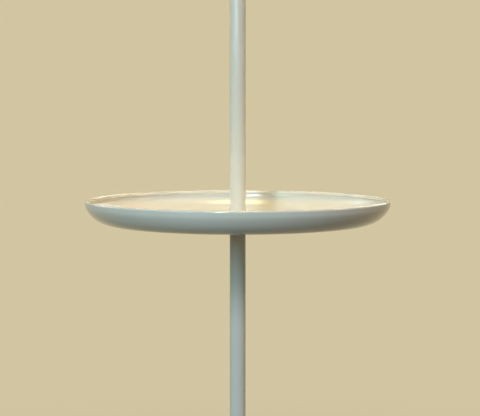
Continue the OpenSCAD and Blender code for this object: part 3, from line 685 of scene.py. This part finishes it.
class LAMP_OT_lampholder(LampOperator):
    """Mould the lampholder's threaded shell and its ribbed key"""

    bl_idname = "lamp.lampholder"
    bl_label = "Lampholder"

    def execute(self, context):
        self.shell()
        self.key()
        return {"FINISHED"}

    def shell(self):
        low, high = node_box("holder_shell")
        bore_r, tail_r, shell_r, flange_r = 15.5, 17.6, 19.0, high.x
        cap_top, flange_low, flange_top = low.z + 5, low.z + 15, low.z + 17.5
        thread_low, thread_high, pitch, depth = flange_top + 1, high.z - 1.5, 2.5, 0.65
        thread_step = 0.25
        # radius, height and corner radius
        below = rounded([
            (bore_r, low.z, 0.2), (tail_r, low.z, 0.4), (tail_r, cap_top, 0),
            (shell_r, cap_top, 0.4), (shell_r, flange_low, 0.8), (flange_r, flange_low, 0.5),
            (flange_r, flange_top, 0.4), (shell_r, flange_top, 0.2), (shell_r, thread_low, 0)])
        threaded = fill_in([(shell_r, thread_low), (shell_r, thread_high)], thread_step)
        # the mouth's edges are eased with listed points, because the thread runs out into them
        above = [(shell_r - 0.3, high.z - 0.9), (shell_r - 0.8, high.z - 0.25),
                 (shell_r - 1.3, high.z), (bore_r + 0.4, high.z),
                 (bore_r + 0.1, high.z - 0.12), (bore_r, high.z - 0.4)]

        def shape(radius, height, angle):
            # a moulded thread with flat crests and roots, which runs out over 1 mm at each end
            if abs(radius - shell_r) > 0.01 or not thread_low <= height <= thread_high:
                return radius, height
            turn = (height / pitch - angle / (2 * math.pi)) % 1
            root = ease(0.36, 0.5, turn) * (1 - ease(0.86, 1.0, turn))
            run_out = ease(thread_low, thread_low + 1, height)
            run_out *= 1 - ease(thread_high - 1, thread_high, height)
            return radius - depth * root * run_out, height

        mesh = turned_mesh("holder_shell_moulded", below[:-1] + threaded + above, 144, shape)
        place("holder_shell_moulded", mesh, "stand", "white_phenolic", 40, ["holder_shell"])

    def key(self):
        low, high = node_box("switch_key")
        middle_z = (low.z + high.z) / 2
        length, half_wide = high.x - low.x, (high.z - low.z) / 2
        bevel, steps = 0.6, 44
        along = [bevel + (length - 2 * bevel) * step / steps for step in range(1, steps + 1)]
        sections = [
            [(low.x + at, y, middle_z + z) for y, z in self.key_section(at, length, half_wide)]
            for at in [0, 0.25, bevel] + along + [length - 0.3, length]]
        mesh = lofted_mesh("switch_key_moulded", sections)
        place("switch_key_moulded", mesh, "key", "white_phenolic", 45, ["switch_key"])

    def key_section(self, at, length, half_wide):
        """The closed section, as (y, z), at a distance from the hub's face: a round hub that dies
        away into a ribbed paddle."""
        hub_r, root_half_wide, half_thick, points = 4.5, 4.2, 1.7, 120
        end_r, edge_r, thumb_hollow = 3, 0.9, 0.25
        rib_gap, rib_height, rib_least_z = 1.7, 0.28, 4.8
        # the paddle's end is rounded in both directions
        end = max(0.0, at - (length - end_r)) / end_r
        wide = half_wide - end_r * (1 - math.sqrt(max(0.0, 1 - end ** 2)))
        wide = root_half_wide + (wide - root_half_wide) * ease(3.2, 6.5, at)
        over = max(0.0, at - (length - edge_r)) / edge_r
        thick = half_thick - (edge_r - edge_r * math.sqrt(max(0.0, 1 - over ** 2)))
        thick -= thumb_hollow * ease(6, 9, at) * (1 - ease(12.5, 15, at))
        hub_bevel = 0.35 - at * 0.6 if at < 0.6 else 0
        hub = max(hub_r * (1 - ease(8, 12.5, at)) - hub_bevel, 0.05)
        rib_share = ease(6.5, 8, at) * (1 - ease(length - 2.5, length - 1.5, at))
        section = []
        for column in range(points):
            a = 2 * math.pi * column / points
            across, up = math.cos(a), math.sin(a)
            # the sixth power of a box has full round edges, and the eighth power joins on the hub
            paddle = (abs(up / wide) ** 6 + abs(across / thick) ** 6) ** (-1 / 6)
            r = (paddle ** 8 + hub ** 8) ** (1 / 8)
            y, z = r * across, r * up
            # ribs along the paddle give the fingers a hold
            rib = rib_height * (0.5 + 0.5 * math.cos(2 * math.pi * z / rib_gap))
            rib *= ease(rib_least_z, rib_least_z + 1.2, abs(z))
            rib *= (1 - ease(wide - 1.6, wide - 0.8, abs(z))) * rib_share
            section.append((y + math.copysign(rib, y) * (abs(across) > 0.02), z))
        return section


class LAMP_OT_shade_cover(LampOperator):
    """Roll the linen cover over its two wires and lap it at the back"""

    bl_idname = "lamp.shade_cover"
    bl_label = "Shade cover"

    def execute(self, context):
        sheet, wire_r, gap, wrap, hem_steps = 1.0, 1.6, 0.05, 205, 14
        _, top_wire = node_box("shade_top_wire")
        _, bottom_wire = node_box("shade_bottom_wire")
        top = (top_wire.x - wire_r, top_wire.z - wire_r)
        bottom = (bottom_wire.x - wire_r, bottom_wire.z - wire_r)
        lean = math.degrees(math.atan2(bottom[0] - top[0], top[1] - bottom[1]))
        hem_r, inner_r = wire_r + sheet, wire_r + gap
        outer = self.with_panel(arc(bottom, hem_r, lean - wrap, lean, hem_steps),
                                arc(top, hem_r, lean, lean + wrap, hem_steps))
        inner = self.with_panel(arc(top, inner_r, lean + wrap, lean, hem_steps),
                                arc(bottom, inner_r, lean, lean - wrap, hem_steps))
        # the glued cover draws in between its wires, and puckers a little where it is rolled
        drawn_in, slack, pucker, pucker_reach = 0.35, 0.5, 0.22, 14
        slack_lobes, pucker_lobes = 2.2, 26

        def shape(radius, height, angle):
            t = min(1.0, max(0.0, (height - bottom[1]) / (top[1] - bottom[1])))
            free = math.sin(math.pi * t) ** 0.7 if 0 < t < 1 else 0
            radius += free * (slack * ring_noise(slack_lobes, angle, t * 1.5) - drawn_in)
            from_wire = min(height - bottom[1], top[1] - height)
            gathered = ring_noise(pucker_lobes, angle, 9 if t > 0.5 else 4)
            return radius + pucker * gathered * (1 - ease(0, pucker_reach, from_wire)), height

        mesh = turned_mesh("shade_linen", outer + inner, 360, shape,
                           lambda index: index >= len(outer) - 1)
        cover = place("shade_linen", mesh, "stand", "shade_linen", 50, ["shade_cover"],
                      [finish_for("shade_linen"), shade_film()])
        seam = self.seam(outer, shape)
        return {"FINISHED"}

    def with_panel(self, first_hem, second_hem):
        """Two hems with the straight panel between them, in steps of 6 mm."""
        return first_hem + fill_in([first_hem[-1], second_hem[0]], 6)[1:-1] + second_hem

    def seam(self, outer, shape):
        """The lap of the cover over itself: a second layer on the outside, from hem to hem."""
        thick, sunk, columns, bare_rows = 0.45, 0.25, 10, 6
        lap = bpy.context.scene.lamp_shade.seam_lap / MM
        rows = outer[bare_rows:len(outer) - bare_rows]
        normals = []
        for index in range(len(rows)):
            before, after = rows[max(0, index - 1)], rows[min(len(rows) - 1, index + 1)]
            along = Vector((after[0] - before[0], after[1] - before[1])).normalized()
            normals.append(Vector((along.y, -along.x)))
        vertices, spots = [], []
        for layer in (0, 1):
            for index, (radius, height) in enumerate(rows):
                # the cut edge is a little unsteady
                unsteady = 0.25 * noise.noise(Vector((index * 0.7, 5, 1)))
                for column in range(columns + 1):
                    share = column / columns
                    angle = math.pi / 2 + (share - 0.5) * lap / radius
                    angle += unsteady / radius if share == 1 else 0
                    # the upper layer thins towards its edges
                    lift = thick * (1 - 0.75 * abs(2 * share - 1) ** 10) if layer else -sunk
                    r, z = shape(radius, height, angle)
                    r, z = r + normals[index].x * lift, z + normals[index].y * lift
                    vertices.append((r * MM * math.cos(angle), r * MM * math.sin(angle), z * MM))
                    # a place in the weave that doesn't continue the cover's own
                    spots.append((0.037 + share * lap * MM, index * 0.004 + 0.011))
        wide = columns + 1
        size = len(rows) * wide
        faces = []
        for layer in (0, 1):
            for index in range(len(rows) - 1):
                for column in range(columns):
                    a = layer * size + index * wide + column
                    faces.append((a, a + 1, a + wide + 1, a + wide))
        rim = [index * wide for index in range(len(rows))]
        rim += [(len(rows) - 1) * wide + column for column in range(1, wide)]
        rim += [index * wide + columns for index in range(len(rows) - 2, -1, -1)]
        rim += range(columns - 1, 0, -1)
        for here, beside in zip(rim, rim[1:] + rim[:1]):
            faces.append((here, beside, beside + size, here + size))
        corners = [spots[vertex] for face in faces for vertex in face]
        mesh = tidy_mesh(new_mesh("shade_seam", vertices, faces, corners))
        return place("shade_seam", mesh, "stand", "shade_linen", 50, finishes=[lapped_linen()])


class LAMP_OT_shade_welds(LampOperator):
    """Weld the three arms to the top wire and to the fitter"""

    bl_idname = "lamp.shade_welds"
    bl_label = "Shade welds"

    # where along the arm each bead sits from the arm's end, and its outline of radius and height
    beads = (
        ("head", -1.7, [(1.25, -2.6), (1.5, -1.9), (1.85, -0.9), (1.8, 0.1), (1.2, 0.9), (0, 1.1)]),
        ("foot", 1.6, [(2.9, -1.6), (2.5, -0.5), (1.95, 0.6), (1.55, 1.6), (1.3, 2.6), (1.2, 2.9)]),
    )

    def execute(self, context):
        wire_r, foot_r, lump = 1.6, 26.8, 0.14
        _, top_wire = node_box("shade_top_wire")
        fitter_low, fitter_high = node_box("shade_fitter")
        ends = {"foot": Vector((foot_r, 0, (fitter_low.z + fitter_high.z) / 2)),
                "head": Vector((top_wire.x - wire_r, 0, top_wire.z - wire_r))}
        along = (ends["head"] - ends["foot"]).normalized()
        aim = Vector((0, 0, 1)).rotation_difference(along).to_matrix().to_4x4()
        parts = []
        for number in range(3):
            azimuth = Matrix.Rotation(math.radians(90 + 120 * number), 4, "Z")
            for name, offset, outline in self.beads:
                def shape(radius, height, angle, seed=3 * (number + len(name))):
                    return radius * (1 + lump * ring_noise(1.4, angle, height * 0.7 + seed)), height

                bead = turned_mesh("bead", fill_in(outline, 0.35), 28, shape, closed=False)
                at = Matrix.Translation((ends[name] + along * offset) * MM)
                parts.append((bead, azimuth @ at @ aim))
        mesh = joined_mesh("shade_weld_beads", parts)
        place("shade_weld_beads", mesh, "stand", "wire_enamel", 60)
        return {"FINISHED"}


class LAMP_OT_foot_pads(LampOperator):
    """Punch the felt pads, with soft edges"""

    bl_idname = "lamp.foot_pads"
    bl_label = "Foot pads"

    def execute(self, context):
        _, high = node_box("foot_pads")
        pad_r, ring_r, edge_r, thick, fuzz, worn = 10.0, 124.4, 0.35, high.z, 0.16, 0.12
        side = pad_r - edge_r
        outline = [(0, 0), (4, 0), (8, 0)] + arc((side, edge_r), edge_r, -90, 0, 4)
        outline += fill_in([(pad_r, edge_r), (pad_r, thick - edge_r)], 0.4)[1:-1]
        outline += arc((side, thick - edge_r), edge_r, 0, 90, 4)
        outline += [(8, thick), (4, thick), (0, thick)]
        parts = []
        for number in range(6):
            def shape(radius, height, angle, seed=7 * number):
                tufts = ring_noise(9, angle, height * 1.3 + seed)
                return radius + ease(pad_r - 1.5, pad_r, radius) * (fuzz * tufts - worn), height

            pad = turned_mesh("pad", outline, 96, shape, closed=False)
            azimuth = Matrix.Rotation(math.radians(120 + 60 * number), 4, "Z")
            parts.append((pad, azimuth @ Matrix.Translation((ring_r * MM, 0, 0))))
        mesh = joined_mesh("felt_pads", parts)
        place("felt_pads", mesh, "stand", "felt", 60, ["foot_pads"])
        return {"FINISHED"}


class LAMP_OT_stage(LampOperator):
    """Set the plain pale floor, the soft lights and the camera"""

    bl_idname = "lamp.stage"
    bl_label = "Studio"

    def execute(self, context):
        settings = context.scene.lamp_stage
        self.floor(settings)
        self.surroundings(context, settings)
        self.lights(context, settings)
        self.camera(context, settings)
        context.scene.view_settings.view_transform = "Standard"
        return {"FINISHED"}

    def floor(self, settings):
        """A pale floor that keeps the lamp's shadow and turns into the backdrop farther out."""
        half_wide, cells = 40, 24
        near, far, near_share = 0.3, 1.5, 0.38
        work = bmesh.new()
        bmesh.ops.create_grid(work, x_segments=cells, y_segments=cells, size=half_wide)
        mesh = bpy.data.meshes.new("studio_floor")
        work.to_mesh(mesh)
        work.free()
        material, tree, shader, where = new_finish(
            "pale matt floor", 0.75, IOR=1.4, Specular_IOR_Level=0.2)
        pale = tuple(settings.floor)
        # a dark floor for the light that falls on the lamp, so that little comes up from below
        dim = scaled(pale, (0.08, 0.07, 0.05))
        shown = shows(tree)
        tree.links.new(blend(tree, shown, dim, pale), shader.inputs["Base Color"])
        # the floor shows a part of the backdrop's colour under the lamp's shadow, and all far out
        away = add(tree, "ShaderNodeVectorMath", {0: where}, operation="LENGTH").outputs["Value"]
        share = ramp(tree, away, near, far, near_share, 1.0, "SMOOTHSTEP")
        backdrop = add(tree, "ShaderNodeEmission",
                       {"Color": tuple(settings.background), "Strength": 1.0})
        mix_surface(tree, calc(tree, "MULTIPLY", share, shown), shader, backdrop)
        mesh.materials.append(material)
        new_object("studio_floor", mesh)

    def surroundings(self, context, settings):
        """The plain backdrop, and the dim warm light of a room from all round."""
        low_sky, high_sky = (0.045, 0.030, 0.014, 1), (0.17, 0.14, 0.10, 1)
        world = bpy.data.worlds.new("plain studio")
        world.use_nodes = True
        context.scene.world = world
        tree = world.node_tree
        tree.nodes.clear()
        direction = add(tree, "ShaderNodeTexCoord").outputs["Generated"]
        up = add(tree, "ShaderNodeSeparateXYZ", {0: direction}).outputs[2]
        sky = blend(tree, ramp(tree, up, -0.15, 0.9, curve="SMOOTHSTEP"), low_sky, high_sky)
        colour = blend(tree, shows(tree), sky, tuple(settings.background))
        light = add(tree, "ShaderNodeBackground", {"Strength": 1.0, "Color": colour})
        out = add(tree, "ShaderNodeOutputWorld")
        tree.links.new(light.outputs[0], out.inputs["Surface"])

    def hang(self, kind, name, location, power, colour):
        """A light in its place."""
        data = bpy.data.lights.new(name, kind)
        data.energy, data.color = power, colour
        light = new_object(name, data)
        light.location = location
        return light

    def softbox(self, name, azimuth, distance, height, size, power, colour):
        """An area light at an azimuth from the camera's side, aimed at the tray."""
        a = math.radians(azimuth)
        location = (distance * math.sin(a), -distance * math.cos(a), height)
        light = self.hang("AREA", name, location, power, colour)
        light.data.shape = "RECTANGLE"
        light.data.size, light.data.size_y = size
        aim = Vector((0, 0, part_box("tray")[1].z)) - light.location
        light.rotation_euler = aim.to_track_quat("-Z", "Y").to_euler()
        light.visible_camera = False

    def lights(self, context, settings):
        """Daylight from in front, cooler towards the left, a little warm light from the right, two
        softboxes behind, and the lamp's own light."""
        shade = context.scene.lamp_shade
        pale_blue, blue, sea_blue = (0.80, 0.92, 1.0), (0.70, 0.93, 1.0), (0.36, 0.92, 1.0)
        amber, warm_white = (1.0, 0.68, 0.42), (1.0, 0.97, 0.92)
        back, rear = settings.back_power * 0.65, settings.back_power * 0.35
        # name, azimuth in degrees, distance, height and size in metres, power and colour
        for box in (
                ("key_softbox", -14, 3.0, 2.3, (0.6, 0.8), settings.key_power, pale_blue),
                ("strip_softbox", -13, 3.0, 1.33, (0.18, 0.93), settings.strip_power, blue),
                ("side_softbox", -38, 3.0, 1.33, (0.5, 0.93), settings.side_power, sea_blue),
                ("fill_softbox", 90, 3.0, 2.3, (0.6, 0.8), settings.fill_power, amber),
                ("back_softbox", 155, 3.4, 2.3, (1.8, 1.8), back, warm_white),
                ("rear_softbox", -125, 3.4, 2.0, (1.2, 1.2), rear, warm_white)):
            self.softbox(*box)
        # warm light that falls out of the shade's lower end, from a disk just below it
        below, mouth_d, spread = 5 * MM, 0.28, 50
        mouth_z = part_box("shade_cover")[0].z - below
        falling = self.hang("AREA", "shade_mouth_light", (0, 0, mouth_z),
                            shade.mouth_power, (1.0, 0.70, 0.26))
        falling.data.shape, falling.data.size = "DISK", mouth_d
        falling.data.spread = math.radians(spread)
        falling.visible_camera = False
        # the lamp itself, which lights the inside of the shade from the middle of its globe
        from_top, glow_r = 30 * MM, 0.028
        glow_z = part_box("lamp_diffuser")[1].z - from_top
        glow = self.hang("POINT", "lamp_glow", (0, 0, glow_z),
                         shade.lamp_power, (1.0, 0.80, 0.56))
        glow.data.shadow_soft_size = glow_r
        frame["nodes"]["lamp_diffuser"].visible_shadow = False

    def camera(self, context, settings):
        """The photograph's view: from 1.6 m, 4 degrees above the level of the tray's lip."""
        above, down, distance = math.radians(4.0), math.radians(4.30), 1.6
        aside, into_lip = 2.9 * MM, 2.5 * MM
        data = bpy.data.cameras.new("camera")
        data.lens, data.sensor_width = settings.lens, 36
        data.clip_start, data.clip_end = 0.05, 200
        camera = new_object("camera", data)
        lip_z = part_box("tray")[1].z - into_lip
        camera.location = (aside, -distance * math.cos(above), lip_z + distance * math.sin(above))
        camera.rotation_euler = (math.pi / 2 - down, 0, 0)
        context.scene.camera = camera


STEPS = (
    LAMP_OT_finishes,
    LAMP_OT_tray,
    LAMP_OT_lampholder,
    LAMP_OT_shade_cover,
    LAMP_OT_shade_welds,
    LAMP_OT_foot_pads,
    LAMP_OT_stage,
)


class LAMP_PT_panel(bpy.types.Panel):
    """The lamp's steps and settings"""

    bl_idname = "LAMP_PT_panel"
    bl_label = "Floor Lamp"
    bl_space_type = "VIEW_3D"
    bl_region_type = "UI"
    bl_category = "Floor Lamp"

    def draw(self, context):
        scene = context.scene
        for title, settings in (("Enamel", scene.lamp_enamel), ("Shade", scene.lamp_shade),
                                ("Studio", scene.lamp_stage)):
            group = self.layout.box()
            group.label(text=title)
            for name in settings.__annotations__:
                group.prop(settings, name)
        for step in STEPS:
            self.layout.operator(step.bl_idname)


CLASSES = (EnamelSettings, ShadeSettings, StageSettings, *STEPS, LAMP_PT_panel)


def register():
    for item in CLASSES:
        bpy.utils.register_class(item)
    bpy.types.Scene.lamp_enamel = bpy.props.PointerProperty(type=EnamelSettings)
    bpy.types.Scene.lamp_shade = bpy.props.PointerProperty(type=ShadeSettings)
    bpy.types.Scene.lamp_stage = bpy.props.PointerProperty(type=StageSettings)


def unregister():
    del bpy.types.Scene.lamp_stage
    del bpy.types.Scene.lamp_shade
    del bpy.types.Scene.lamp_enamel
    for item in reversed(CLASSES):
        bpy.utils.unregister_class(item)


def main():
    """Registers the add-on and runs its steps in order."""
    register()
    bpy.ops.lamp.finishes()
    bpy.ops.lamp.tray()
    bpy.ops.lamp.lampholder()
    bpy.ops.lamp.shade_cover()
    bpy.ops.lamp.shade_welds()
    bpy.ops.lamp.foot_pads()
    bpy.ops.lamp.stage()


if __name__ == "__main__":
    main()
